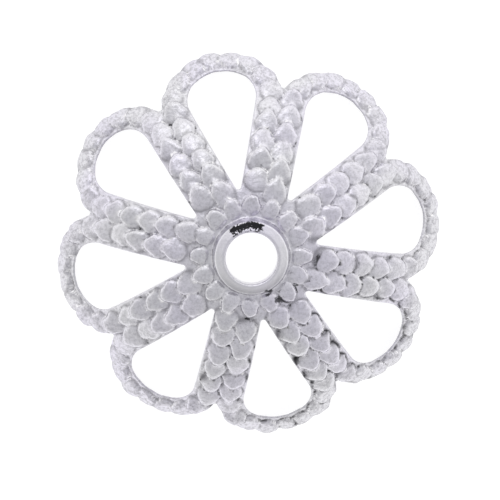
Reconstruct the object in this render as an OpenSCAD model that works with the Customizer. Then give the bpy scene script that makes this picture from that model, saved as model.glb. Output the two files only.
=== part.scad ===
// Flower bead cap: one stamped sheet-metal dome, pierced into eight petal loops that are
// bordered by raised round beads, with a rolled collar round the hole for the wire.
// Millimetres. The cap stands dome up on its eight petal tips, which touch z = 0, and the
// wire hole runs along +Z through the origin.

/* [Dome] */
// Outer radius of the ball that the sheet follows
dome_r = 9.32; // [9.2:0.02:9.5]
// Thickness of the sheet
sheet_t = 0.25; // [0.22:0.01:0.3]
// Angle from the top of the dome to the middle of a petal's round end
petal_angle = 43.6; // [43:0.1:44]

/* [Openwork] */
// Half the width of a spoke next to the middle of the cap
spoke_inner = 0.97; // [0.94:0.01:1]
// Half the width of a spoke where the petals' round ends begin
spoke_outer = 1.05; // [1.02:0.01:1.08]
// Distance by which the petals' rims reach past the middle line of a spoke
rim_lap = 0.08; // [0.06:0.005:0.1]
// Radius of the rounded point of each opening
apex_r = 0.12; // [0.08:0.01:0.15]
// Radius of the two corners at the wide end of each opening
corner_r = 0.85; // [0.8:0.01:0.9]
// Radius of the curve across the wide end of each opening
end_r = 1.9; // [1.8:0.02:2]
// Distance from the axis to the bottom of the notch between two petals
notch_r = 6.72; // [6.6:0.01:6.85]

/* [Beads] */
// Radius of a raised bead
bead_r = 0.395; // [0.36:0.005:0.4]
// Depth of a bead's centre below the sheet's outer face
bead_sink = 0.105; // [0.09:0.005:0.14]
// Distance from a spoke's middle line to each of its two rows of beads
row_offset = 0.47; // [0.46:0.005:0.49]
// Number of beads along one petal loop
loop_beads = 19; // [17:1:19]
// Angle from the top of the dome to the first bead of a loop
first_bead_angle = 18.4; // [18.2:0.1:19]
// Angle from the top of the dome to the ring of beads round the collar
ring_angle = 13.1; // [12.8:0.1:13.3]
// Radius of the hollow struck behind each bead
dimple_r = 0.375; // [0.3:0.005:0.38]
// Distance of a hollow's centre inside the sheet's inner face
dimple_sink = 0.12; // [0.1:0.005:0.18]

/* [Collar] */
// Radius of the wire hole
hole_r = 1.05; // [1:0.01:1.1]
// Radius of the collar's foot on the dome
collar_r = 1.6; // [1.55:0.01:1.65]
// Height of the collar above the top of the dome
collar_h = 0.62; // [0.58:0.01:0.66]
// Radius of the collar's round lip
lip_r = 0.16; // [0.14:0.01:0.18]
// Radius of the round flare from the inner face into the hole
flare_r = 0.42; // [0.38:0.01:0.45]

/* [Hidden] */
$fn = 48;
petals = 8;
half_step = 180 / petals;
// Length by which a cutting shape runs past what it cuts
over = 1;
inner_r = dome_r - sheet_t;

// Angle at the ball's centre between a petal's middle and a spoke's middle plane
petal_to_spoke = asin(sin(petal_angle) * sin(half_step));
// Angular radius of the rim, the bead path and the opening at a petal's round end
rim_spread = petal_to_spoke + asin(rim_lap / dome_r);
path_spread = petal_to_spoke - asin(row_offset / dome_r);
open_spread = petal_to_spoke - asin(spoke_outer / dome_r);
rim_r = dome_r * sin(rim_spread);

// Angle down a spoke at which the round end begins, and how far the bead path turns there
tangent_angle = atan(tan(petal_angle) * cos(half_step));
turn = 180 - atan(1 / (cos(petal_angle) * tan(half_step)));

// Lengths along half a loop: round the tip, then up the spoke
tip_length = dome_r * sin(path_spread) * turn * PI / 180;
row_length = dome_r * (tangent_angle - first_bead_angle) * PI / 180;
pitch = 2 * (tip_length + row_length) / (loop_beads - 1);

// Plan of an opening towards +X: the rounded point, then the end of a straight side, where it
// meets the round end, and the half angle between the two sides
apex_x = (spoke_inner + apex_r) / sin(half_step);
meet = dome_r * sin(tangent_angle) * [cos(half_step), sin(half_step)]
    + spoke_outer * [sin(half_step), -cos(half_step)];
lean = atan2(meet[1], meet[0] - apex_x) - asin(apex_r / norm(meet - [apex_x, 0]));
apex_side = [apex_x - apex_r * sin(lean), apex_r * cos(lean)];

// Plan of the wide end: centre of its long curve, then the centre of a corner, which touches
// both the side and that curve
arc_x = dome_r * sin(petal_angle + open_spread) - end_r;
corner_turn = lean - asin((corner_r - (arc_x - apex_side[0]) * sin(lean) - apex_side[1] * cos(lean))
    / (end_r - corner_r));
corner_at = [arc_x, 0] + (end_r - corner_r) * [cos(corner_turn), sin(corner_turn)];
side_end = corner_at + corner_r * [-sin(lean), cos(lean)];

// Height over the dome's centre at which the flare leaves the inner face
mouth_z = sqrt(pow(inner_r, 2) - pow(hole_r + flare_r, 2));

// Amount by which a rounded corner stands proud of the lines it joins, so that they cross
blend = 0.012;

// Height of the tips' inner edges over the dome's centre, by which the cap is lowered to z = 0
foot_z = cos(petal_angle) * sqrt(pow(inner_r, 2) - pow(rim_r, 2)) - sin(petal_angle) * rim_r;

// The same point on the other side of a petal's middle line
function mirrored(point) = [point[0], -point[1]];

// Unit vector of the bead path at the length s from a petal's tip, for a petal towards +X
function path_point(s) =
    abs(s) <= tip_length ? tip_point(s / tip_length * turn)
    : row_point(tangent_angle - (abs(s) - tip_length) / dome_r * 180 / PI, sign(s));

// Point on the small circle round the petal's middle, at an angle from the outward side
function tip_point(a) =
    let (out = sin(path_spread) * cos(a), up = cos(path_spread))
    [up * sin(petal_angle) + out * cos(petal_angle),
     sin(path_spread) * sin(a),
     up * cos(petal_angle) - out * sin(petal_angle)];

// Point beside a spoke's middle plane, at an angle down from the top of the dome
function row_point(down, side) =
    let (off = row_offset / dome_r, along = sqrt(1 - off * off) * sin(down))
    [along * cos(half_step) + off * sin(half_step),
     side * (along * sin(half_step) - off * cos(half_step)),
     sqrt(1 - off * off) * cos(down)];

// Repeats its child once for each petal
module each_petal() {
    for (k = [0 : petals - 1]) rotate(k * 360 / petals) children();
}

// One ball of radius r at each bead's place, at the distance reach from the dome's centre
module bead_balls(r, reach) {
    each_petal() {
        for (i = [0 : loop_beads - 1])
            translate(reach * path_point((i - (loop_beads - 1) / 2) * pitch)) sphere(r);
        for (side = [-1, 1]) rotate(side * half_step / 2) rotate([0, ring_angle, 0])
            translate([0, 0, reach]) sphere(r);
    }
}

// Outline of the sheet: eight round rims and the middle that joins them
module outline_block() {
    each_petal() rotate([0, petal_angle, 0])
        translate([0, 0, dome_r - 2 * over]) cylinder(r = rim_r, h = 3 * over);
    translate([0, 0, foot_z - over]) cylinder(r = notch_r, h = dome_r - foot_z + 2 * over);
}

// One teardrop opening, for a petal towards +X, punched straight down through the sheet
module opening_block() {
    height = dome_r - foot_z + over;
    fan_x = arc_x + 2 * end_r * cos(corner_turn);
    fan_y = 2 * end_r * sin(corner_turn);
    translate([0, 0, foot_z]) {
        linear_extrude(height) polygon([apex_side, side_end, corner_at,
            mirrored(corner_at), mirrored(side_end), mirrored(apex_side)]);
        translate([apex_x, 0, 0]) cylinder(r = apex_r + blend / 4, h = height);
        for (centre = [corner_at, mirrored(corner_at)]) translate(centre)
            cylinder(r = corner_r + blend, h = height);
        intersection() {
            translate([arc_x, 0, 0]) cylinder(r = end_r, h = height);
            linear_extrude(height) polygon([[arc_x, 0], [fan_x, -fan_y], [arc_x + 2 * end_r, 0],
                [fan_x, fan_y]]);
        }
    }
}

// Collar round the hole, standing up from inside the sheet and ending in a round lip
module collar_ring() {
    rotate_extrude() translate([0, dome_r]) {
        polygon([[hole_r, -0.8 * sheet_t], [collar_r, -0.8 * sheet_t],
            [hole_r + 2 * lip_r, collar_h - lip_r], [hole_r, collar_h - lip_r]]);
        translate([hole_r + lip_r, collar_h - lip_r]) circle(lip_r);
    }
}

// Wire hole with its flare from the inner face
module hole_cut() {
    translate([0, 0, inner_r - over]) cylinder(r = hole_r, h = sheet_t + collar_h + 2 * over);
    rotate_extrude() difference() {
        translate([0, mouth_z - over]) square([hole_r + flare_r, flare_r + over]);
        translate([hole_r + flare_r, mouth_z + flare_r]) circle(flare_r);
    }
}

module bead_cap() {
    color("silver") translate([0, 0, -foot_z]) difference() {
        union() {
            intersection() {
                sphere(dome_r);
                outline_block();
            }
            bead_balls(bead_r, dome_r - bead_sink);
            collar_ring();
        }
        sphere(inner_r);
        bead_balls(dimple_r, inner_r - dimple_sink);
        each_petal() opening_block();
        hole_cut();
    }
}

bead_cap();
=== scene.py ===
"""Flower bead cap: the finished surface of a stamped, silver-plated cap, its stage and its camera."""

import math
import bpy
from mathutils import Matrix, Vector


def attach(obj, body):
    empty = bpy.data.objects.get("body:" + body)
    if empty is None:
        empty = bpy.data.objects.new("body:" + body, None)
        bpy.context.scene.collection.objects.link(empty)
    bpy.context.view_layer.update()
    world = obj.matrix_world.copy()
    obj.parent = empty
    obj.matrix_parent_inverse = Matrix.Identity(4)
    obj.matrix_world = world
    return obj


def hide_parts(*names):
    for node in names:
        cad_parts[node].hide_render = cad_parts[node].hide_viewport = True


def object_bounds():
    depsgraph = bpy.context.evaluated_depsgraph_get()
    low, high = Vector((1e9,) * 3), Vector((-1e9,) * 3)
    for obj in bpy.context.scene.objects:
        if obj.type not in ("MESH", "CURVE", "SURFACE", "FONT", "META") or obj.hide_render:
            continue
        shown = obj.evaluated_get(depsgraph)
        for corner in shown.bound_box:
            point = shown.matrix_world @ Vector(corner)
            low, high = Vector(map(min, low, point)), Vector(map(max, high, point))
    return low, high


bl_info = {
    "name": "Flower Bead Cap",
    "version": (1, 0, 0),
    "blender": (4, 5, 0),
    "location": "View3D > Sidebar > Bead Cap",
    "description": "Builds a stamped openwork bead cap with raised beads, its plating and a photo stage",
    "category": "Object",
}

import bmesh
import bpy
import numpy as np
from bpy.props import FloatProperty, FloatVectorProperty, IntProperty, PointerProperty
from bpy.types import Operator, Panel, PropertyGroup
from mathutils import Matrix, Vector, noise
from mathutils.geometry import delaunay_2d_cdt
from mathutils.kdtree import KDTree

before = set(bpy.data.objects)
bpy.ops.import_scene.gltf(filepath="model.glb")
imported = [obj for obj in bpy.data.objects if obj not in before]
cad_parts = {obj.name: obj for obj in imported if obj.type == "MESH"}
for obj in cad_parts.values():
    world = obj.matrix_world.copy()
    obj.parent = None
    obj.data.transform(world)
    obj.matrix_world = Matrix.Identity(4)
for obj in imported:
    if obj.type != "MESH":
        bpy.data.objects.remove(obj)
CAD_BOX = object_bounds()

PETALS = 8
HALF_STEP = math.pi / PETALS
MM = 0.001
BEAD_SEED = 5

# Rings of points on each bead: share of its radius, and number of points
OUTER_RINGS = ((0.985, 36), (1.06, 36), (0.92, 34), (0.8, 26), (0.62, 18), (0.36, 10), (0.0, 1))
INNER_RINGS = ((0.97, 18), (1.12, 18), (0.8, 14), (0.45, 8), (0.0, 1))
# Steps of the mesh: millimetres on the land, and numbers of steps along half an edge
OUTER_STEPS = {"land": 0.075, "inner_edge": 110, "outer_edge": 90, "collar": 14}
INNER_STEPS = {"land": 0.13, "inner_edge": 110, "outer_edge": 90, "collar": 8}
# Rows of points beside a cut edge, as shares of its rounding
OUTER_ROWS = (0.15, 0.4, 0.7, 1.05)
INNER_ROWS = (0.3, 1.1)
# Rows of points across a cut edge, as shares of the way from the outer face to the inner one
WALL_ROWS = (1 / 3, 2 / 3)
# Numbers of rings down the collar and over its flare, and the share of its profile in the first ones
COLLAR_RINGS = (30, 9)
COLLAR_SPLIT = 0.72
# Number of points on a line while it is worked out, and on a petal's outline
FINE = 900
FINE_OUTLINE = 1600
# Distance within which points of neighbouring blocks are joined, in mm
JOIN = 0.0006

# Distance from the collar's foot over which the relief grows to its full height, in mm
FOOT_FADE = 0.06
# Width in mm of the petals' rims that is drawn in between two beads, and the angle beside a spoke's
# middle over which that begins
RIM_WIDTH = 0.2
NOTCH_FADE = 0.06
# Size of the waver in the beads' outlines and of the dents in the sheet, in mm
WAVER_SIZE = 0.3
DENT_SIZE = 0.4
# Strength of the shade on the collar's side, and how far below the top it begins, in mm
COLLAR_SHADE = 0.08
COLLAR_TOP = 0.08
# Values that each point of the mesh carries for the plating: how much painted shade it gets, and how much
# painted highlight
TONES = ("crease", "worn")


def length(name, description, default, **settings):
    """A size in metres."""
    return FloatProperty(name=name, description=description, default=default, unit="LENGTH",
                         precision=5, **settings)


def turn(name, description, degrees):
    """An angle, given in degrees."""
    return FloatProperty(name=name, description=description, default=math.radians(degrees),
                         unit="ROTATION")


def share(name, description, default):
    """A share between 0 and 1."""
    return FloatProperty(name=name, description=description, default=default, subtype="FACTOR",
                         min=0, max=1)


def tint(name, description, default):
    """A linear colour."""
    return FloatVectorProperty(name=name, description=description, default=default, size=3,
                               subtype="COLOR", min=0, max=1)


class CapSizes(PropertyGroup):
    """Sizes of the stamping."""

    dome_radius: length("Dome Radius", "Outer radius of the ball that the sheet follows", 9.32 * MM)
    sheet: length("Sheet", "Thickness of the sheet", 0.25 * MM)
    petal_angle: turn("Petal Angle", "From the top of the dome to the middle of a petal's round end", 43.6)
    spoke_inner: length("Spoke Inside", "Half the width of a spoke next to the middle", 0.97 * MM)
    spoke_outer: length("Spoke Outside", "Half the width of a spoke at the round ends", 1.05 * MM)
    rim_lap: length("Rim Lap", "Reach of a petal's rim past the middle line of a spoke", 0.08 * MM)
    apex_radius: length("Point Radius", "Radius of an opening's rounded point", 0.12 * MM)
    corner_radius: length("Corner Radius", "Radius of the corners at an opening's wide end", 0.85 * MM)
    end_radius: length("End Radius", "Radius of the curve across an opening's wide end", 1.9 * MM)
    notch_radius: length("Notch", "Distance from the axis to the notch between two petals", 6.72 * MM)
    hole_radius: length("Hole Radius", "Radius of the wire hole", 1.05 * MM)
    collar_radius: length("Collar Radius", "Radius of the collar's foot on the dome", 1.6 * MM)
    collar_height: length("Collar Height", "Height of the collar over the top of the dome", 0.62 * MM)
    flare_radius: length("Flare Radius", "Radius of the flare from the inner face into the hole", 0.42 * MM)
    edge_radius: length("Edge Radius", "Rounding of the cut edges on the outer face", 0.07 * MM)
    burr_radius: length("Inner Edge Radius", "Rounding of the cut edges on the inner face", 0.04 * MM)


class BeadSizes(PropertyGroup):
    """Sizes of the raised beads and the hollows behind them."""

    half_length: length("Half Length", "Half the length of a bead along its row", 0.57 * MM)
    half_width: length("Half Width", "Half the width of a bead across its row", 0.48 * MM)
    height: length("Bead Height", "Height of a bead over the sheet", 0.17 * MM)
    stray: length("Stray", "How far beads stray from their even places", 0.018 * MM)
    size_spread: share("Size Spread", "Difference in width among the beads", 0.07)
    height_spread: share("Height Spread", "Difference in height among the beads", 0.2)
    overlap: share("Overlap", "Slope by which beads rise away from the collar", 0.2)
    taper: share("Taper", "Share by which a bead narrows towards its outer end", 0.22)
    tilt_spread: share("Tilt Spread", "Slope of the beads' flat tops", 0.11)
    stagger: share("Stagger", "Shift of one row of a spoke along the other, in steps", 0.4)
    waver: length("Waver", "How far the beads' outlines stray from smooth ovals", 0.07 * MM)
    scallop: length("Scallop", "How far a petal's rim is drawn in between two beads", 0.1 * MM)
    dents: length("Dents", "Height of the soft unevenness of the outer face", 0.03 * MM)
    hollow_radius: length("Hollow Radius", "Radius of a hollow's mouth on the inner face", 0.39 * MM)
    hollow_depth: length("Hollow Depth", "Depth of a hollow", 0.25 * MM)
    row_offset: length("Row Offset", "From a spoke's middle line to each row of beads", 0.43 * MM)
    loop_beads: IntProperty(name="Loop Beads", description="Number of beads along one petal loop",
                            default=19)
    first_angle: turn("First Bead", "From the top of the dome to the first bead of a loop", 18.4)
    ring_angle: turn("Ring", "From the top of the dome to the ring of beads round the collar", 13.1)
    ring_size: share("Ring Size", "Size of the beads of that ring, as a share", 0.8)


# Spots of painted black shade: azimuth in degrees, distance from the axis and radius in mm, and whether the
# spot spreads out of the creases
SHADE_SPOTS = ((-77, 1.53, 0.1, True), (-72, 1.62, 0.12, True), (-68, 2.12, 0.16, True),
                 (-62, 2.2, 0.3, False), (-35, 2.95, 0.35, False), (-16, 2.85, 0.3, False),
                 (-48, 2.25, 0.25, False), (-72, 6.0, 0.45, False))


class PlatingLook(PropertyGroup):
    """Colours and sheen of the plating, with the colours of its painted shade and painted highlight."""

    silver: tint("Silver", "Colour of the plating where it is clean", (0.715, 0.695, 0.77))
    warm_silver: tint("Warm Silver", "Colour of the plating where it is warmer", (0.705, 0.70, 0.725))
    # the colour of the painted shade in the creases, in the hollows and on the collar's side
    shade: tint("Shade", "Colour of the plating in the creases between beads", (0.16, 0.155, 0.17))
    # the black of the painted shade: specks in the creases, the lip's shadow and the spots
    tarnish: tint("Tarnish", "Colour of the black specks of tarnish", (0.02, 0.02, 0.022))
    roughness: share("Roughness", "Roughness of the satin plating", 0.21)
    # the nearly white colour of the painted highlight on the beads' rims
    worn: tint("Worn Silver", "Colour of the beads' rims, where they are rubbed bright", (1.0, 0.99, 1.0))
    mottled: tint("Mottled Silver", "Colour of the duller flecks in the plating", (0.4, 0.39, 0.42))
    mottle: length("Mottle", "Size of the duller flecks in the plating", 0.13 * MM)
    grain: length("Grain", "Size of the fine unevenness of the surface", 0.12 * MM)


class StageLook(PropertyGroup):
    """Floor, light and camera."""

    floor: tint("Floor", "Colour of the floor", (0.4, 0.4, 0.4))
    glow: share("Glow", "Light that the floor gives off itself", 0.81)
    camera_azimuth: turn("Camera Azimuth", "Side of the cap over which the camera stands, from +X", 90.0)
    camera_elevation: turn("Camera Elevation", "Height of the camera over the horizon", 82.2)
    up_azimuth: turn("Up Azimuth", "Side of the cap that is up in the picture, from +X", 79.5)
    lens: FloatProperty(name="Lens", description="Focal length of the camera in millimetres",
                        default=300.0, unit="CAMERA")
    reach: length("Reach", "Width of what the camera sees at the cap", 20.6 * MM)


PROPERTY_NAMES = {"cap_sizes": CapSizes, "cap_beads": BeadSizes, "cap_plating": PlatingLook,
                  "cap_stage": StageLook}


class Plan:
    """The stamping's plan and faces in millimetres, for the petal towards +X and y >= 0."""

    def __init__(self, sizes, beads):
        for key in CapSizes.__annotations__:
            value = getattr(sizes, key)
            setattr(self, key, value if key == "petal_angle" else value / MM)
        self.beads = {key: getattr(beads, key) for key in BeadSizes.__annotations__}
        for key in ("half_length", "half_width", "height", "stray", "waver", "scallop", "dents",
                    "hollow_radius", "hollow_depth", "row_offset"):
            self.beads[key] /= MM
        self.inner_radius = self.dome_radius - self.sheet
        self.petal_to_spoke = math.asin(math.sin(self.petal_angle) * math.sin(HALF_STEP))
        spread = self.petal_to_spoke + math.asin(self.rim_lap / self.dome_radius)
        self.rim_radius = self.dome_radius * math.sin(spread)
        self.tangent_angle = math.atan(math.tan(self.petal_angle) * math.cos(HALF_STEP))
        depth = math.sqrt(self.inner_radius ** 2 - self.rim_radius ** 2)
        self.foot = math.cos(self.petal_angle) * depth - math.sin(self.petal_angle) * self.rim_radius

    def opening(self):
        """Edge of the opening, from its point to the far end of its wide end."""
        point_x = (self.spoke_inner + self.apex_radius) / math.sin(HALF_STEP)
        along = self.dome_radius * math.sin(self.tangent_angle)
        meet = (along * math.cos(HALF_STEP) + self.spoke_outer * math.sin(HALF_STEP),
                along * math.sin(HALF_STEP) - self.spoke_outer * math.cos(HALF_STEP))
        reach = math.hypot(meet[0] - point_x, meet[1])
        lean = math.atan2(meet[1], meet[0] - point_x) - math.asin(self.apex_radius / reach)
        normal = np.array([-math.sin(lean), math.cos(lean)])
        start = np.array([point_x, 0]) + self.apex_radius * normal
        spread = self.petal_to_spoke - math.asin(self.spoke_outer / self.dome_radius)
        arc_x = self.dome_radius * math.sin(self.petal_angle + spread) - self.end_radius
        gap = self.corner_radius + (np.array([arc_x, 0]) - start) @ normal
        swing = lean - math.asin(gap / (self.end_radius - self.corner_radius))
        centre = np.array([arc_x, 0]) + (self.end_radius - self.corner_radius) * np.array(
            [math.cos(swing), math.sin(swing)])
        square = lean + math.pi / 2
        point = arc((point_x, 0), self.apex_radius, math.pi, square)
        end = np.concatenate([arc(centre, self.corner_radius, square, swing),
                              arc((arc_x, 0), self.end_radius, swing, 0)[1:]])
        return np.concatenate([point, end])

    def outline(self, radius):
        """Edge of the sheet on the ball of that radius, from the notch to the petal's tip."""
        angle = np.linspace(math.pi, 0, FINE)
        rise = math.sqrt(radius ** 2 - self.rim_radius ** 2)
        rim = np.stack([math.sin(self.petal_angle) * rise
                        + math.cos(self.petal_angle) * self.rim_radius * np.cos(angle),
                        self.rim_radius * np.sin(angle)], 1)
        outside = (np.hypot(*rim.T) > self.notch_radius) & (np.arctan2(rim[:, 1], rim[:, 0]) < HALF_STEP)
        first = int(np.argmax(outside))
        meet = math.atan2(rim[first, 1], rim[first, 0])
        web = arc((0, 0), self.notch_radius, 2 * HALF_STEP - meet, meet)
        edge = softened(spaced(np.concatenate([web, rim[first:]]), FINE_OUTLINE), 12)
        side = np.arctan2(edge[:, 1], edge[:, 0])
        edge = edge[int(np.argmin(np.abs(side - HALF_STEP))):]
        edge[0] = np.hypot(*edge[0]) * np.array([math.cos(HALF_STEP), math.sin(HALF_STEP)])
        edge[-1, 1] = 0
        return edge

    def bead_directions(self):
        """Unit vector from the dome's centre to every bead, the way along its row, and its size."""
        offset = self.beads["row_offset"] / self.dome_radius
        spread = self.petal_to_spoke - math.asin(offset)
        swing = math.pi - math.atan(1 / (math.cos(self.petal_angle) * math.tan(HALF_STEP)))
        tip = self.dome_radius * math.sin(spread) * swing
        row = self.dome_radius * (self.tangent_angle - self.beads["first_angle"])
        count = self.beads["loop_beads"]
        pitch = 2 * (tip + row) / (count - 1)

        def place(s):
            if abs(s) <= tip:
                a = s / tip * swing
                out, up = math.sin(spread) * math.cos(a), math.cos(spread)
                return [up * math.sin(self.petal_angle) + out * math.cos(self.petal_angle),
                        math.sin(spread) * math.sin(a),
                        up * math.cos(self.petal_angle) - out * math.sin(self.petal_angle)]
            down = self.tangent_angle - (abs(s) - tip) / self.dome_radius
            flat = math.sqrt(1 - offset ** 2)
            far = flat * math.sin(down)
            return [far * math.cos(HALF_STEP) + offset * math.sin(HALF_STEP),
                    math.copysign(far * math.sin(HALF_STEP) - offset * math.cos(HALF_STEP), s),
                    flat * math.cos(down)]

        one, along = [], []
        short = 0.01
        for s in (np.arange(count) - (count - 1) / 2 + self.beads["stagger"] / 2) * pitch:
            towards = -math.copysign(short, s) if abs(s) > pitch / 2 else short
            one.append(place(s))
            along.append(np.array(place(s + towards)) - place(s))
        ring = self.beads["ring_angle"]
        for side in (-1, 1):
            a = side * HALF_STEP / 2
            for tilt, kept in ((ring, one), (ring + math.pi / 2, along)):
                kept.append([math.sin(tilt) * math.cos(a), math.sin(tilt) * math.sin(a), math.cos(tilt)])
        one, along = np.array(one), np.array(along)
        along -= (along * one).sum(1, keepdims=True) * one
        along /= np.linalg.norm(along, axis=1, keepdims=True)
        turns = [np.array(Matrix.Rotation(2 * k * HALF_STEP, 3, "Z")).T for k in range(PETALS)]
        sizes = np.tile([1.0] * count + [self.beads["ring_size"]] * 2, PETALS)
        return np.concatenate([one @ t for t in turns]), np.concatenate([along @ t for t in turns]), sizes


def arc(centre, radius, start, end):
    """Points on a circle's arc, at most about a hundredth of a millimetre apart."""
    count = max(int(abs(end - start) * radius / 0.01), 6)
    a = np.linspace(start, end, count)
    return np.array(centre) + radius * np.stack([np.cos(a), np.sin(a)], 1)


def spaced(line, count):
    """The same line with that many points, evenly apart."""
    travel = np.concatenate([[0], np.cumsum(np.hypot(*np.diff(line, axis=0).T))])
    at = np.linspace(0, travel[-1], count)
    return np.stack([np.interp(at, travel, line[:, k]) for k in (0, 1)], 1)


def softened(line, width):
    """The same line with its corners rounded over about that many points."""
    kernel = np.exp(-0.5 * (np.arange(-3 * width, 3 * width + 1) / width) ** 2)
    kernel /= kernel.sum()
    pad = 3 * width
    long = np.concatenate([2 * line[0] - line[pad:0:-1], line, 2 * line[-1] - line[-2:-pad - 2:-1]])
    return np.stack([np.convolve(long[:, k], kernel, "valid") for k in (0, 1)], 1)


def flattened(way):
    """Unit vectors as points of a map that keeps small circles round."""
    return 2 * way[:, :2] / (1 + way[:, 2:])


def raised(flat):
    """Points of that map as unit vectors."""
    q = (flat ** 2).sum(1, keepdims=True) / 4
    return np.concatenate([flat, 1 - q], 1) / (1 + q)


def lifted(plan_points, radius):
    """Points of the plan as unit vectors, for the ball of that radius."""
    rise = np.sqrt(radius ** 2 - (plan_points ** 2).sum(1, keepdims=True))
    return np.concatenate([plan_points, rise], 1) / radius


def closest(points, others):
    """Distance from each point to the closest of the others."""
    return np.sqrt(((points[:, None] - others[None]) ** 2).sum(-1)).min(1)


def smooth_noise(places):
    """Noise between about -1 and 1, one value for each place, the same in every run."""
    return np.array([noise.noise(Vector(p)) for p in places.tolist()])


def warped(ways, radius, amount):
    """The same directions, each pushed a little aside, so that what is drawn there has wavering edges."""
    push = [smooth_noise(ways * radius / WAVER_SIZE + apart) for apart in (0, 100, 200)]
    pushed = ways + np.stack(push, 1) * amount / radius
    return pushed / np.linalg.norm(pushed, axis=1, keepdims=True)


def drawn_in(ways, angle):
    """The same directions, turned by those angles towards the top of the dome."""
    upward = np.array([0, 0, 1]) - ways * ways[:, 2:]
    upward /= np.linalg.norm(upward, axis=1, keepdims=True)
    turned = ways + upward * angle[:, None]
    return turned / np.linalg.norm(turned, axis=1, keepdims=True)


def unevenness(ways, radius):
    """Smooth noise between about -1 and 1 over the sheet."""
    return smooth_noise(ways * radius / DENT_SIZE + 50)


class BeadField:
    """Every bead of the cap, each a little different, and the relief that they make together."""

    # How late a bead's top begins to fall, and how steeply its flank ends
    TOP_POWER, FLANK_POWER = 4.2, 0.55
    # Fillets between two beads and at a bead's foot, in mm
    BEAD_FILLET, FOOT_FILLET = 0.012, 0.015
    # Width of the painted shade in the crease between two beads, and of the painted shade above and below a
    # bead's foot, in mm
    CREASE, ABOVE_FOOT, BELOW_FOOT = 0.05, 0.08, 0.1
    # Where the painted highlight on a bead's rim lies and how wide it is, as shares of the bead's half
    # width, how strong it is beside the bead's middle, and by how much more at the end away from the collar
    WORN_RIM, WORN_WIDTH = 0.97, 0.045
    WORN_BESIDE, WORN_OUTWARD = 0.25, 1.3
    # Where the middle between two beads of a row lies, as a share of a bead's half length, and how
    # closely the scallops of the rim keep to it
    HALF_WAY, SCALLOP_POWER = 0.73, 2.5

    def __init__(self, ways, along, sizes, beads, radius, shape, seed=None):
        dice = np.random.default_rng(seed)
        spread = 0 if seed is None else 1
        count = len(ways)
        self.along, self.side = along, np.cross(ways, along)
        shift = spread * dice.normal(0, beads["stray"], (count, 2)) / radius
        self.ways = ways + shift[:, :1] * self.side + shift[:, 1:] * self.along
        self.ways /= np.linalg.norm(self.ways, axis=1, keepdims=True)
        self.radius = radius
        half_length, half_width, height, overlap, self.taper = shape
        size = sizes[:, None] * (1 + spread * dice.uniform(-1, 1, (count, 2)) * beads["size_spread"])
        self.half = size * (half_length, half_width)
        self.height = height * (1 + spread * dice.uniform(-1, 1, count) * beads["height_spread"])
        self.tilt = spread * dice.normal(0, beads["tilt_spread"], (count, 2))
        self.tilt[:, 0] += overlap

    def between(self, ways):
        """0 beside the middle of a bead and 1 half way to the next one of its row."""
        near = (ways @ self.ways.T).argmax(1)
        ahead = ((ways - self.ways[near]) * self.along[near]).sum(1) * self.radius / self.half[near, 0]
        return np.clip(np.abs(ahead) / self.HALF_WAY, 0, 1) ** self.SCALLOP_POWER

    def heights(self, ways, count=5):
        """The closest beads to each point, how high each would stand there, and the point's place on it."""
        near = np.argpartition(-(ways @ self.ways.T), count, axis=1)[:, :count]
        offset = (ways[:, None] - self.ways[near]) * self.radius
        x = (offset * self.along[near]).sum(-1)
        y = (offset * self.side[near]).sum(-1)
        half = self.half[near]
        ahead = x / half[..., 0]
        reach = np.hypot(ahead, y / half[..., 1] / (1 - self.taper * np.clip(ahead, -1, 1)))
        lean = self.tilt[near][..., 0] * x + self.tilt[near][..., 1] * y
        shoulder = np.clip(1 - reach ** self.TOP_POWER, 0, None) ** self.FLANK_POWER
        height = np.where(reach < 1, (self.height[near] + lean) * shoulder, (1 - reach) * half[..., 1])
        return near, height, reach, ahead

    def relief(self, ways):
        """Height of the beads over the sheet, how much painted shade each point gets in a crease or at a
        bead's foot, and how much painted highlight it gets on a bead's rim.
        """
        _, height, reach, ahead = self.heights(ways)
        order = height.argsort(1)
        best, second = (np.take_along_axis(height, order[:, [k]], 1)[:, 0] for k in (-1, -2))
        reach, ahead = (np.take_along_axis(part, order[:, [-1]], 1)[:, 0] for part in (reach, ahead))
        relief = soft_max(soft_max(best, second, self.BEAD_FILLET), 0, self.FOOT_FILLET)
        # painted shade in the crease between two beads and on the land round a bead's foot
        between = np.exp(-((best - second) / self.CREASE) ** 2) * (best > 0) * (second > 0)
        land = np.clip(1 - best / self.ABOVE_FOOT, 0, 1) * np.clip(1 + best / self.BELOW_FOOT, 0, 1)
        # painted highlight along each bead's rim, strongest at its end away from the collar
        on_rim = np.exp(-((reach - self.WORN_RIM) / self.WORN_WIDTH) ** 2)
        worn = on_rim * np.clip(self.WORN_BESIDE + self.WORN_OUTWARD * ahead, 0, 1) * (best > 0)
        return relief, np.maximum(between, land), worn


def soft_max(a, b, width):
    """The larger of two values, with the corner between them rounded."""
    near = np.clip(width - np.abs(a - b), 0, None) / width
    return np.maximum(a, b) + near ** 2 * width / 4


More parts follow.
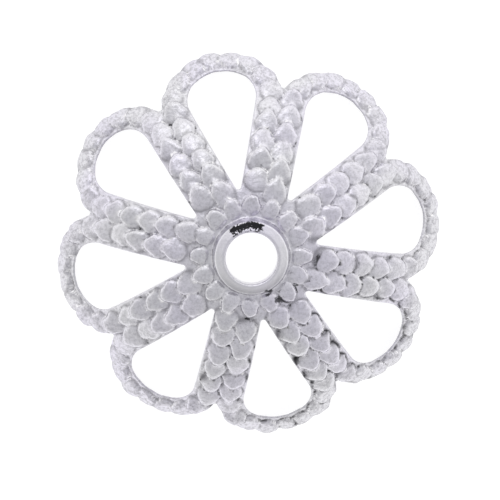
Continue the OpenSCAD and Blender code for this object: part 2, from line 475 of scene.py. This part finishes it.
class HalfPetal:
    """Triangles of one face of the sheet between a petal's middle and the next spoke's middle."""

    # Azimuths between which a bead can reach into the half petal
    FIRST_BEAD, LAST_BEAD = -0.3, 0.7
    # A ring farther out than the first share of a bead is turned by half a step, and one farther out
    # than the second share is judged there when it is seen which bead is the highest
    TURNED_RING, JUDGED_RING = 0.6, 0.97
    # Height below which a point is land, in mm, and how the land's points are laid: the length of
    # their rows' steps and the distance between rows, as a share of that length
    LAND, LAND_STEP, LAND_ROW = -0.03, 1.2, 0.866
    # Smallest gaps as shares of the step: to the rows beside the cuts, to other lines, between points
    ROW_GAP, LINE_GAP, POINT_GAP = 0.55, 0.5, 0.36

    def __init__(self, plan, field, radius, rings, steps, edge_rows):
        self.radius, self.step = radius, steps["land"]
        opening = spaced(plan.opening(), steps["inner_edge"] + 1)
        outline = spaced(plan.outline(radius), steps["outer_edge"] + 1)
        across_spoke = math.sin(HALF_STEP), -math.cos(HALF_STEP)
        inner = self.cut_rows(opening, edge_rows, (0, 1), 1)
        outer = self.cut_rows(outline, edge_rows, across_spoke, -1)
        a = np.linspace(0, HALF_STEP, steps["collar"] + 1)
        collar_foot = plan.collar_radius * np.stack([np.cos(a), np.sin(a)], 1)
        collar_foot = flattened(lifted(collar_foot, radius))
        to_opening = self.straight(collar_foot[0], inner[-1][0])
        to_tip = self.straight(inner[-1][-1], outer[-1][-1])
        to_collar = self.straight(outer[-1][0], collar_foot[-1])
        loop = np.array([
            *to_opening[:-1], *(row[0] for row in inner[::-1]), *inner[0][1:-1],
            *(row[-1] for row in inner), *to_tip[1:-1], *(row[-1] for row in outer[::-1]),
            *outer[0][1:-1][::-1], *(row[0] for row in outer), *to_collar[1:],
            *collar_foot[1:-1][::-1]])
        extra = [row[1:-1] for row in inner[1:] + outer[1:]]
        guard = np.concatenate([inner[-1], outer[-1]])
        lines = np.concatenate([to_opening, to_tip, to_collar, collar_foot])
        inside = self.candidates(field, rings, loop, guard, lines)
        self.flat, self.faces = self.triangles(loop, extra, inside)
        self.ways = raised(self.flat)
        self.inner_cut, self.outer_cut = self.find(inner[0]), self.find(outer[0])
        self.measure(raised(spaced(inner[0], FINE)), raised(spaced(outer[0], FINE)))

    def measure(self, inner_edge, outer_edge):
        """How far each point lies from the cut edges in mm, and how much it belongs to the rim."""
        edges = np.concatenate([inner_edge, outer_edge])
        self.from_edge = closest(self.ways, edges) * self.radius
        self.from_edge[self.inner_cut] = self.from_edge[self.outer_cut] = 0
        from_rim = closest(self.ways, outer_edge) * self.radius
        from_spoke = HALF_STEP - np.arctan2(self.ways[:, 1], self.ways[:, 0])
        self.on_rim = np.exp(-(from_rim / RIM_WIDTH) ** 2) * np.clip(from_spoke / NOTCH_FADE, 0, 1)

    def cut_rows(self, cut, depths, start, side):
        """A cut edge and rows of points beside it, at those depths into the sheet."""
        flat = flattened(lifted(cut, self.radius))
        along = np.gradient(flat, axis=0)
        along[0], along[-1] = start, (0, -1)
        normal = side * np.stack([-along[:, 1], along[:, 0]], 1)
        normal /= np.linalg.norm(normal, axis=1, keepdims=True)
        scale = (1 + (flat ** 2).sum(1, keepdims=True) / 4) / self.radius
        return [flat + normal * depth * scale for depth in (0.0, *depths)]

    def straight(self, start, end):
        """Points on a straight line of the map, about the land's step apart."""
        scale = 1 + (np.array([start, end]) ** 2).sum() / 8
        count = max(round(np.linalg.norm(end - start) * self.radius / scale / self.step), 2)
        t = np.linspace(0, 1, count + 1)[:, None]
        return start * (1 - t) + end * t

    def candidates(self, field, rings, loop, guard, lines):
        """Points inside: rings on the beads where each is the highest, then the land."""
        points = np.concatenate([*self.bead_rings(field, rings), self.land(field, loop)])
        points = points[inside_loop(points, loop)]
        for line, gap in ((guard, self.ROW_GAP), (lines, self.LINE_GAP)):
            size = (1 + (points ** 2).sum(1) / 4) / self.radius
            points = points[closest(points, line) > gap * self.step * size]
        return thinned(points, self.POINT_GAP * self.step / self.radius)

    def bead_rings(self, field, rings):
        """Rings of points on every bead near by, without those where another bead is higher."""
        azimuth = np.arctan2(field.ways[:, 1], field.ways[:, 0])
        here = np.flatnonzero((azimuth > self.FIRST_BEAD) & (azimuth < self.LAST_BEAD))
        flat = flattened(field.ways[here])
        ahead = flattened(field.ways[here] + 0.001 * field.along[here]) - flat
        ahead /= np.linalg.norm(ahead, axis=1, keepdims=True)
        beside = np.stack([-ahead[:, 1], ahead[:, 0]], 1)
        scale = (1 + (flat ** 2).sum(1, keepdims=True) / 4) / self.radius
        for part, count in rings:
            a = (np.arange(count) + 0.5 * (part > self.TURNED_RING)) * 2 * math.pi / count
            across = (np.sin(a) * (1 - field.taper * np.cos(a)))[:, None]
            for k, bead in enumerate(here):
                half = field.half[bead]
                ring = (np.cos(a)[:, None] * ahead[k] * half[0] + across * beside[k] * half[1]) * scale[k]
                judged = raised(flat[k] + min(part, self.JUDGED_RING) * ring)
                near, heights, _, _ = field.heights(judged)
                own = near[np.arange(count), heights.argmax(1)] == bead
                yield (flat[k] + part * ring)[own]

    def land(self, field, loop):
        """Points in even rows, where the sheet lies free between the beads."""
        reach = np.abs(loop).max(0)
        step = self.step * self.LAND_STEP / self.radius
        x, y = np.meshgrid(np.arange(0, reach[0], step), np.arange(0, reach[1], step * self.LAND_ROW))
        x = x + (np.arange(x.shape[0])[:, None] % 2) * step / 2
        points = np.stack([x.ravel(), y.ravel()], 1)
        return points[field.heights(raised(points))[1].max(1) < self.LAND]

    def triangles(self, loop, extra, inside):
        """Triangles between all points, within the loop."""
        points = np.concatenate([loop, *extra, inside])
        edges = [(k, (k + 1) % len(loop)) for k in range(len(loop))]
        first = len(loop)
        for row in extra:
            edges += [(first + k, first + k + 1) for k in range(len(row) - 1)]
            first += len(row)
        result = delaunay_2d_cdt([Vector(p) for p in points.tolist()], edges, [], 1, 1e-9)
        flat = np.array([tuple(v) for v in result[0]])
        faces = np.array([tuple(f) for f in result[2]])
        a, b, c = (flat[faces[:, k]] for k in range(3))
        turned = np.cross(b - a, c - a) < 0
        faces[turned] = faces[turned][:, ::-1]
        return flat, faces

    def find(self, points):
        """Numbers of these points in the mesh."""
        return np.array([int(np.argmin(((self.flat - p) ** 2).sum(1))) for p in points])


def inside_loop(points, loop):
    """Whether each point lies inside the closed loop."""
    x, y = points[:, :1], points[:, 1:]
    ax, ay = loop[:, 0][None], loop[:, 1][None]
    bx, by = np.roll(loop, -1, 0)[:, 0][None], np.roll(loop, -1, 0)[:, 1][None]
    crosses = (ay > y) != (by > y)
    with np.errstate(divide="ignore", invalid="ignore"):
        at = ax + (y - ay) / (by - ay) * (bx - ax)
    return (np.sum(crosses & (x < at), 1) % 2) == 1


def thinned(points, gap):
    """The points without those that lie closer than the gap to an earlier one."""
    tree = KDTree(len(points))
    for k, p in enumerate(points.tolist()):
        tree.insert((*p, 0), k)
    tree.balance()
    kept = np.ones(len(points), bool)
    for k, p in enumerate(points.tolist()):
        if kept[k]:
            for _, other, _ in tree.find_range((*p, 0), gap):
                if other > k:
                    kept[other] = False
    return points[kept]


def collar_profile(plan):
    """Radius and height of the collar and the hole in mm, from the outer face to the inner one."""
    foot, hole = plan.collar_radius, plan.hole_radius
    top = plan.dome_radius + plan.collar_height
    base = math.sqrt(plan.dome_radius ** 2 - foot ** 2)
    # the side leans in a little, and the lip turns over into the hole
    side = np.array([[foot, base], [foot - 0.05, base + 0.3], [foot - 0.1, top - 0.2],
                     [hole + 0.08, top], [hole, top - 0.1]])
    mouth = hole + plan.flare_radius
    mouth_z = math.sqrt(plan.inner_radius ** 2 - mouth ** 2)
    flare = arc((mouth, mouth_z + plan.flare_radius), plan.flare_radius, math.pi, 1.5 * math.pi)
    end = np.array([[foot, math.sqrt(plan.inner_radius ** 2 - foot ** 2)]])
    line = np.concatenate([side, flare, end])
    fine = softened(spaced(line, FINE), 9)
    fine[0], fine[-1] = line[0], line[-1]
    return fine


def collar(plan, around_out, around_in):
    """Points and faces of the collar, the hole and its flare."""
    profile = collar_profile(plan)
    split = int(COLLAR_SPLIT * len(profile))
    upper = spaced(profile[:split], COLLAR_RINGS[0])
    lower = spaced(profile[split:], COLLAR_RINGS[1])
    points, faces = [], []

    def ring(r, z, count):
        a = np.arange(count) * 2 * math.pi / count
        first = sum(len(p) for p in points)
        points.append(np.stack([r * np.cos(a), r * np.sin(a), 0 * a + z], 1))
        return first

    def band(a, b, count):
        k = np.arange(count)
        n = (k + 1) % count
        faces.extend(np.stack([a + k, a + n, b + n, b + k], 1).tolist())

    starts = [ring(r, z, around_out) for r, z in upper]
    for a, b in zip(starts[:-1], starts[1:]):
        band(a, b, around_out)
    ends = [ring(r, z, around_in) for r, z in lower]
    for a, b in zip(ends[:-1], ends[1:]):
        band(a, b, around_in)
    a, b = starts[-1], ends[0]
    i = j = 0
    while i < around_out or j < around_in:
        if (i + 1) * around_in <= (j + 1) * around_out and i < around_out:
            faces.append([a + i % around_out, a + (i + 1) % around_out, b + j % around_in])
            i += 1
        else:
            faces.append([a + i % around_out, b + (j + 1) % around_in, b + j % around_in])
            j += 1
    points = np.concatenate(points)
    top = points[:, 2].max() - COLLAR_TOP
    shade = COLLAR_SHADE * np.clip((top - points[:, 2]) / (top - plan.dome_radius), 0, 1) ** 0.5
    return points, faces, np.stack([shade, 0 * shade], 1)


class Socket:
    """A shader value that takes part in ordinary arithmetic."""

    def __init__(self, nodes, socket):
        self.nodes, self.socket = nodes, socket

    def _math(self, operation, *values):
        return self.nodes.add("ShaderNodeMath", {"operation": operation}, dict(enumerate(values)))

    def __add__(self, other):
        return self._math("ADD", self, other)

    def __radd__(self, other):
        return self._math("ADD", other, self)

    def __sub__(self, other):
        return self._math("SUBTRACT", self, other)

    def __rsub__(self, other):
        return self._math("SUBTRACT", other, self)

    def __mul__(self, other):
        return self._math("MULTIPLY", self, other)

    def __rmul__(self, other):
        return self._math("MULTIPLY", other, self)

    def __truediv__(self, other):
        return self._math("DIVIDE", self, other)

    def __pow__(self, other):
        return self._math("POWER", self, other)


class Nodes:
    """A node tree that is filled by code."""

    def __init__(self, tree):
        self.tree = tree
        tree.nodes.clear()

    def add(self, kind, settings=None, inputs=None, output=0):
        """Adds a node, sets its settings first and then its inputs, and gives one of its outputs."""
        node = self.tree.nodes.new(kind)
        for key, value in (settings or {}).items():
            if key == "stops":
                ramp = node.color_ramp.elements
                while len(ramp) < len(value):
                    ramp.new(0.5)
                for stop, (place, colour) in zip(ramp, value):
                    stop.position, stop.color = place, colour
            else:
                setattr(node, key, value)
        for key, value in (inputs or {}).items():
            if isinstance(value, Socket):
                self.tree.links.new(value.socket, node.inputs[key])
            else:
                node.inputs[key].default_value = value
        return Socket(self, node.outputs[output]) if len(node.outputs) else None

    def mix(self, factor, a, b):
        """One colour where the factor is 0 and the other where it is 1."""
        return self.add("ShaderNodeMix", {"data_type": "RGBA"}, {0: factor, 6: a, 7: b}, output=2)

    def dot(self, place, way):
        """Dot product of a vector and a fixed direction."""
        return self.add("ShaderNodeVectorMath", {"operation": "DOT_PRODUCT"}, {0: place, 1: way}, output=1)

    def step(self, value, low, high):
        """0 below the low value, 1 above the high one, and smooth between."""
        return self.add("ShaderNodeMapRange", {"interpolation_type": "SMOOTHSTEP"},
                        {"Value": value, "From Min": low, "From Max": high})

    def larger(self, a, b):
        """The larger of two values."""
        return self.add("ShaderNodeMath", {"operation": "MAXIMUM"}, {0: a, 1: b})

    def above(self, value):
        """The value where it is over zero, and zero elsewhere."""
        return self.larger(value, 0.0)

    def noise(self, place, size, detail, roughness=0.5):
        """Noise whose spots are about that many metres across."""
        return self.add("ShaderNodeTexNoise", {}, {"Vector": place, "Scale": 1 / size, "Detail": detail,
                                                   "Roughness": roughness})


# Sizes of the noises in the plating, in mm
CLOUDS, SPECKS, WARM_AREAS, RAGGED_EDGES, PITS = 1.4, 0.3, 2.6, 0.14, 0.3
# Distances from the axis over which the plating's look changes, in mm
COLLAR_TO_SPOKES, RING_TO_SPOKES = (1.4, 2.8), (2.5, 3.0)
SPOKES_TO_TIPS, TIPS_TO_RIMS = (5.8, 7.0), (6.2, 7.2)
COLLAR_SIDE = 1.15, 1.45
# Heights over the floor between the dome and the collar's side, in mm
DOME_TO_COLLAR = 4.75, 5.0
# Azimuths of the side with the most painted shade and of the painted shadow on the lip, in degrees, and the
# distance from the axis at which the first is full, in mm
SHADED_SIDE, PATCH_SIDE = -62, 88
SHADED_REACH = 8
# Bounds of that patch: distances from the axis and height in mm, how squarely it faces its side,
# and the ragged noise at which it has holes
PATCH_FROM, PATCH_TO, PATCH_HEIGHT = (1.17, 1.21), (1.46, 1.5), (5.1, 5.15)
PATCH_FACING, PATCH_HOLES = (0.85, 0.88), (0.16, 0.2)


def plating_material(look):
    """Satin silver plating, with painted shade and painted black shade in the creases and on the collar,
    and painted highlights on the beads' rims.
    """
    material = bpy.data.materials.new("satin_silver_plating")
    material.use_nodes = True
    nodes = Nodes(material.node_tree)
    place = nodes.add("ShaderNodeTexCoord", output=3)
    crease, worn = (nodes.add("ShaderNodeAttribute", {"attribute_name": name}, output=2)
                    for name in TONES)
    cloud = nodes.noise(place, CLOUDS * MM, 3.0)
    grain = nodes.noise(place, look.grain, 4.0, 0.6)
    speck = nodes.noise(place, SPECKS * MM, 2.0, 0.6)
    # painted shade, growing towards one side of the cap
    side = nodes.above(nodes.dot(place, direction(math.radians(SHADED_SIDE), 0))
                       * (1 / (SHADED_REACH * MM)))
    warm = nodes.noise(place, WARM_AREAS * MM, 1.0)
    flat_place = nodes.add("ShaderNodeVectorMath", {"operation": "MULTIPLY"}, {0: place, 1: (1, 1, 0)})
    radius = nodes.add("ShaderNodeVectorMath", {"operation": "LENGTH"}, {0: flat_place}, output=1)
    radius = radius * (1 / MM)
    # how strong the painted shade and the painted black shade in the creases are: most on one side, least
    # near the collar and the tips
    spokes = (0.1 + 0.9 * nodes.step(radius, *COLLAR_TO_SPOKES)
              - 0.25 * nodes.step(radius, *SPOKES_TO_TIPS))
    shade_amount = crease ** 1.3 * (0.45 + 0.5 * cloud + 0.4 * side) * spokes
    # specks of painted black shade in the creases
    fewer = 0.1 * nodes.step(radius, *SPOKES_TO_TIPS) - 0.1 * nodes.step(radius, *RING_TO_SPOKES)
    black_speck_shade = crease * nodes.step(speck + 0.26 * side + 0.1 * cloud - fewer, 0.76, 0.84)
    facing = nodes.dot(place, direction(math.radians(PATCH_SIDE), 0)) * (1 / MM) / radius
    high = nodes.dot(place, (0, 0, 1)) * (1 / MM)
    ragged = nodes.noise(place, RAGGED_EDGES * MM, 3.0, 0.75) - 0.5
    # painted shadow: a black patch on one side of the collar's lip
    patch = lip_shadow(nodes, radius, high, facing, ragged)
    colour = nodes.mix(nodes.step(warm, 0.35, 0.65), (*look.silver, 1), (*look.warm_silver, 1))
    mottle = nodes.noise(place, look.mottle, 3.0, 0.7)
    flecks = nodes.step(mottle, 0.4, 0.68) * (0.42 + 0.3 * nodes.step(radius, *TIPS_TO_RIMS)
                                              - 0.34 * nodes.step(high, *DOME_TO_COLLAR))
    colour = nodes.mix(flecks, colour, (*look.mottled, 1))
    colour = nodes.mix(shade_amount, colour, (*look.shade, 1))
    # painted highlight along the beads' rims, nearly white
    colour = nodes.mix(worn * (0.6 + 0.8 * cloud), colour, (*look.worn, 1))
    # painted black shade: the specks in the creases, the lip's shadow and the spots
    stain = with_spots(nodes, nodes.larger(black_speck_shade, patch), flat_place, crease, ragged)
    # painted shade on the collar's side, opposite the painted shadow on the lip
    collar_side_shade = (nodes.step(high, *DOME_TO_COLLAR) * nodes.step(radius, *COLLAR_SIDE)
            * nodes.step(0 - facing, 0.1, 0.9))
    colour = nodes.mix(0.4 * collar_side_shade, colour, (*look.shade, 1))
    colour = nodes.mix(stain, colour, (*look.tarnish, 1))
    roughness = look.roughness + 0.12 * shade_amount + 0.10 * (cloud - 0.5) + 0.10 * (grain - 0.5)
    pits = nodes.noise(place, PITS * MM, 3.0, 0.65)
    bump = nodes.add("ShaderNodeBump", {}, {"Strength": 0.5, "Distance": 0.035 * MM,
                                            "Height": 0.25 * grain + 1.7 * pits})
    surface = nodes.add("ShaderNodeBsdfPrincipled", {}, {
        "Base Color": colour, "Metallic": 1.0, "Roughness": roughness, "Normal": bump})
    nodes.add("ShaderNodeOutputMaterial", {}, {"Surface": surface})
    return material


def lip_shadow(nodes, radius, high, facing, ragged):
    """Painted shadow: a black patch with a ragged edge on one side of the collar's lip."""
    return (nodes.step(radius + 0.9 * ragged, *PATCH_FROM) * nodes.step(high, *PATCH_HEIGHT)
            * (1 - nodes.step(radius + 0.3 * ragged, *PATCH_TO))
            * nodes.step(facing + 0.25 * ragged, *PATCH_FACING) * (1 - nodes.step(ragged, *PATCH_HOLES)))


def with_spots(nodes, stain, flat_place, crease, ragged):
    """The painted black shade together with the black spots of painted shade, which keep to creases or
    spread over the beads.
    """
    for azimuth, at, size, spreads in SHADE_SPOTS:
        centre = direction(math.radians(azimuth), 0) * at * MM
        away = nodes.add("ShaderNodeVectorMath", {"operation": "DISTANCE"}, {0: flat_place, 1: centre},
                         output=1)
        spot = 0.9 - 0.9 * nodes.step(away * (1 / (size * MM)) + 2.5 * ragged, 0.6, 1.3)
        stain = nodes.larger(stain, spot if spreads else spot * nodes.step(crease, 0.25, 0.45))
    return stain


class CAP_OT_stamping(Operator):
    """Build the domed sheet with its petal loops, beads, hollows and collar, and plate it"""

    bl_idname = "bead_cap.stamping"
    bl_label = "Stamped Cap"

    def execute(self, context):
        scene = context.scene
        plan = Plan(scene.cap_sizes, scene.cap_beads)
        build = bmesh.new()
        for name in TONES:
            build.verts.layers.float.new(name)
        layers = [build.verts.layers.float[name] for name in TONES]
        for block in sheet_blocks(plan):
            add_block(build, layers, plan.foot, *block)
        around_out, around_in = (2 * PETALS * steps["collar"] for steps in (OUTER_STEPS, INNER_STEPS))
        add_block(build, layers, plan.foot, *collar(plan, around_out, around_in))
        bmesh.ops.remove_doubles(build, verts=build.verts, dist=JOIN * MM)
        bmesh.ops.recalc_face_normals(build, faces=build.faces)
        mesh = bpy.data.meshes.new("stamped_cap")
        build.to_mesh(mesh)
        build.free()
        mesh.polygons.foreach_set("use_smooth", np.ones(len(mesh.polygons), bool))
        mesh.materials.append(plating_material(scene.cap_plating))
        piece = bpy.data.objects.new("stamped_cap", mesh)
        scene.collection.objects.link(piece)
        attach(piece, "root")
        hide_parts("bead_cap")
        return {"FINISHED"}


def sheet_blocks(plan):
    """Points, faces and tone of the sheet, one half petal after the other."""
    ways, along, sizes = plan.bead_directions()
    beads = plan.beads
    hollow = beads["hollow_radius"], beads["hollow_radius"], beads["hollow_depth"], 0.0, 0.0
    bead = tuple(beads[key] for key in ("half_length", "half_width", "height", "overlap", "taper"))
    kinds = ((plan.dome_radius, bead, OUTER_RINGS, OUTER_STEPS, plan.edge_radius, OUTER_ROWS),
             (plan.inner_radius, hollow, INNER_RINGS, INNER_STEPS, plan.burr_radius, INNER_ROWS))
    fields = [BeadField(ways, along, sizes, beads, radius, shape, BEAD_SEED)
              for radius, shape, *_ in kinds]
    halves = {}
    for side in (1, -1):
        halves[side] = []
        for radius, shape, rings, steps, rounding, rows in kinds:
            even = BeadField(ways * (1, side, 1), along * (1, side, 1), sizes, beads, radius, shape)
            rows = [part * rounding for part in rows]
            halves[side].append(HalfPetal(plan, even, radius, rings, steps, rows))
    for k in range(PETALS):
        spin = np.array(Matrix.Rotation(2 * k * HALF_STEP, 3, "Z"))
        for side, (outer, inner) in halves.items():
            yield sheet_block(plan, outer, inner, fields, side, spin)


def sheet_block(plan, outer, inner, fields, side, spin):
    """Points, faces and tone of a half petal: both faces of the sheet and the cut edges between."""
    top, top_tone = face_points(plan, outer, fields, side, spin)
    bottom, bottom_tone = face_points(plan, inner, fields, side, spin)
    points, tone = [top, bottom], [top_tone, bottom_tone]
    faces = [outer.faces, inner.faces[:, ::-1] + len(top)]
    first = len(top) + len(bottom)
    for line_out, line_in in ((outer.inner_cut, inner.inner_cut), (outer.outer_cut, inner.outer_cut)):
        rows = [line_out]
        for part in WALL_ROWS:
            points.append(top[line_out] * (1 - part) + bottom[line_in] * part)
            tone.append(np.zeros((len(line_out), len(TONES))))
            rows.append(first + np.arange(len(line_out)))
            first += len(line_out)
        rows.append(line_in + len(top))
        for a, b in zip(rows[:-1], rows[1:]):
            faces.append(np.stack([a[:-1], a[1:], b[1:]], 1))
            faces.append(np.stack([a[:-1], b[1:], b[:-1]], 1))
    return np.concatenate(points), np.concatenate(faces).tolist(), np.concatenate(tone)


def face_points(plan, face, fields, side, spin):
    """Points and tone of one face of a half petal, with its beads or hollows and rounded edges."""
    beads = plan.beads
    outside = face.radius == plan.dome_radius
    field, rounding, inwards = ((fields[0], plan.edge_radius, -1) if outside
                                else (fields[1], plan.burr_radius, 1))
    ways = (face.ways * (1, side, 1)) @ spin.T
    relief, crease, worn = field.relief(warped(ways, face.radius, beads["waver"]))
    if outside:
        relief = relief + beads["dents"] * unevenness(ways, face.radius)
    clear = face.radius * np.hypot(ways[:, 0], ways[:, 1]) - plan.collar_radius
    relief = relief * np.clip(clear / FOOT_FADE, 0, 1)
    if not outside:
        # on the inner face: painted shade that deepens into each hollow, and no painted highlight
        crease, worn = 0.5 * np.clip(relief / beads["hollow_depth"], 0, 1), 0 * worn
    near_edge = np.clip(rounding - face.from_edge, 0, None)
    fall = rounding - np.sqrt(rounding ** 2 - near_edge ** 2)
    scallop = beads["scallop"] / face.radius * face.on_rim * fields[0].between(ways)
    points = drawn_in(ways, scallop) * (face.radius + relief + inwards * fall)[:, None]
    return points, np.stack([crease, worn], 1)


def add_block(build, layers, foot, points, faces, tone):
    """Adds points in millimetres, lowered onto the floor, and their faces to the mesh."""
    verts = []
    for (x, y, z), values in zip(points.tolist(), tone.tolist()):
        vert = build.verts.new((x * MM, y * MM, (z - foot) * MM))
        for layer, value in zip(layers, values):
            vert[layer] = value
        verts.append(vert)
    for face in faces:
        build.faces.new([verts[k] for k in face])


# Half the width of the floor, in metres
FLOOR_HALF = 0.6
# Colours of the light from straight below to straight above
SKY = ((0.0, (1.22, 1.22, 1.22, 1)), (0.25, (1.0, 1.0, 1.0, 1)),
       (0.75, (0.79, 0.79, 0.81, 1)), (1.0, (0.72, 0.72, 0.75, 1)))
# Angles from the side that is up in the picture to the brighter side and to the window, the
# window's elevation, and how narrow its light is
BRIGHT_SIDE, WINDOW_SIDE, WINDOW_ELEVATION = -0.35, 0.25, math.radians(42)
WINDOW_POWER = 24
# Nearest and farthest that the camera sees, in metres
CLIP = 0.001, 10


class CAP_OT_stage(Operator):
    """Lay the pale floor, set the soft light and place the camera at the photograph's angle"""

    bl_idname = "bead_cap.stage"
    bl_label = "Stage"

    def execute(self, context):
        scene = context.scene
        look = scene.cap_stage
        floor_mesh = bpy.data.meshes.new("floor")
        corners = [(x * FLOOR_HALF, y * FLOOR_HALF, 0) for x, y in ((-1, -1), (1, -1), (1, 1), (-1, 1))]
        floor_mesh.from_pydata(corners, [], [(0, 1, 2, 3)])
        floor = bpy.data.objects.new("floor", floor_mesh)
        scene.collection.objects.link(floor)
        material = bpy.data.materials.new("pale_floor")
        material.use_nodes = True
        nodes = Nodes(material.node_tree)
        surface = nodes.add("ShaderNodeBsdfPrincipled", {}, {
            "Base Color": (*look.floor, 1), "Roughness": 0.9, "Specular IOR Level": 0.1,
            "Emission Color": (1, 1, 1, 1), "Emission Strength": look.glow})
        nodes.add("ShaderNodeOutputMaterial", {}, {"Surface": surface})
        floor_mesh.materials.append(material)

        world = bpy.data.worlds.new("soft_studio")
        world.use_nodes = True
        scene.world = world
        nodes = Nodes(world.node_tree)
        way = nodes.add("ShaderNodeTexCoord", output=0)
        height = nodes.add("ShaderNodeSeparateXYZ", {}, {0: way}, output=2)
        sky = nodes.add("ShaderNodeValToRGB", {"stops": SKY}, {0: height})
        side = nodes.dot(way, direction(look.up_azimuth + BRIGHT_SIDE, 0))
        window = nodes.dot(way, direction(look.up_azimuth + WINDOW_SIDE, WINDOW_ELEVATION))
        strength = 0.98 + 0.19 * side + 0.85 * nodes.above(window) ** WINDOW_POWER
        light = nodes.add("ShaderNodeBackground", {}, {"Color": sky, "Strength": strength})
        nodes.add("ShaderNodeOutputWorld", {}, {"Surface": light})

        place_camera(scene, look)
        scene.view_settings.view_transform = "Standard"
        return {"FINISHED"}


def direction(azimuth, elevation):
    """Unit vector at an angle from +X and an angle over the horizon."""
    return Vector((math.cos(azimuth) * math.cos(elevation), math.sin(azimuth) * math.cos(elevation),
                   math.sin(elevation)))


def place_camera(scene, look):
    """A long lens that looks almost straight down on the cap."""
    data = bpy.data.cameras.new("camera")
    data.lens = look.lens
    camera = bpy.data.objects.new("camera", data)
    scene.collection.objects.link(camera)
    back = direction(look.camera_azimuth, look.camera_elevation)
    up = direction(look.up_azimuth, 0)
    up = (up - up.dot(back) * back).normalized()
    right = up.cross(back)
    distance = look.reach * look.lens / data.sensor_width
    target = Vector((0, 0, (CAD_BOX[0].z + CAD_BOX[1].z) / 2))
    turn_to = Matrix((right, up, back)).transposed().to_4x4()
    camera.matrix_world = Matrix.Translation(target + back * distance) @ turn_to
    data.clip_start, data.clip_end = CLIP
    scene.camera = camera


class CAP_PT_panel(Panel):
    """The cap's sizes, look and build steps"""

    bl_label = "Bead Cap"
    bl_idname = "CAP_PT_panel"
    bl_space_type = "VIEW_3D"
    bl_region_type = "UI"
    bl_category = "Bead Cap"

    def draw(self, context):
        for name, group in PROPERTY_NAMES.items():
            box = self.layout.box()
            for key in group.__annotations__:
                box.prop(getattr(context.scene, name), key)
        self.layout.operator(CAP_OT_stamping.bl_idname)
        self.layout.operator(CAP_OT_stage.bl_idname)


CLASSES = (CapSizes, BeadSizes, PlatingLook, StageLook, CAP_OT_stamping, CAP_OT_stage, CAP_PT_panel)


def register():
    for cls in CLASSES:
        bpy.utils.register_class(cls)
    for name, group in PROPERTY_NAMES.items():
        setattr(bpy.types.Scene, name, PointerProperty(type=group))


def unregister():
    for name in PROPERTY_NAMES:
        delattr(bpy.types.Scene, name)
    for cls in reversed(CLASSES):
        bpy.utils.unregister_class(cls)


def main():
    """Builds everything."""
    register()
    bpy.ops.bead_cap.stamping()
    bpy.ops.bead_cap.stage()


if __name__ == "__main__":
    main()
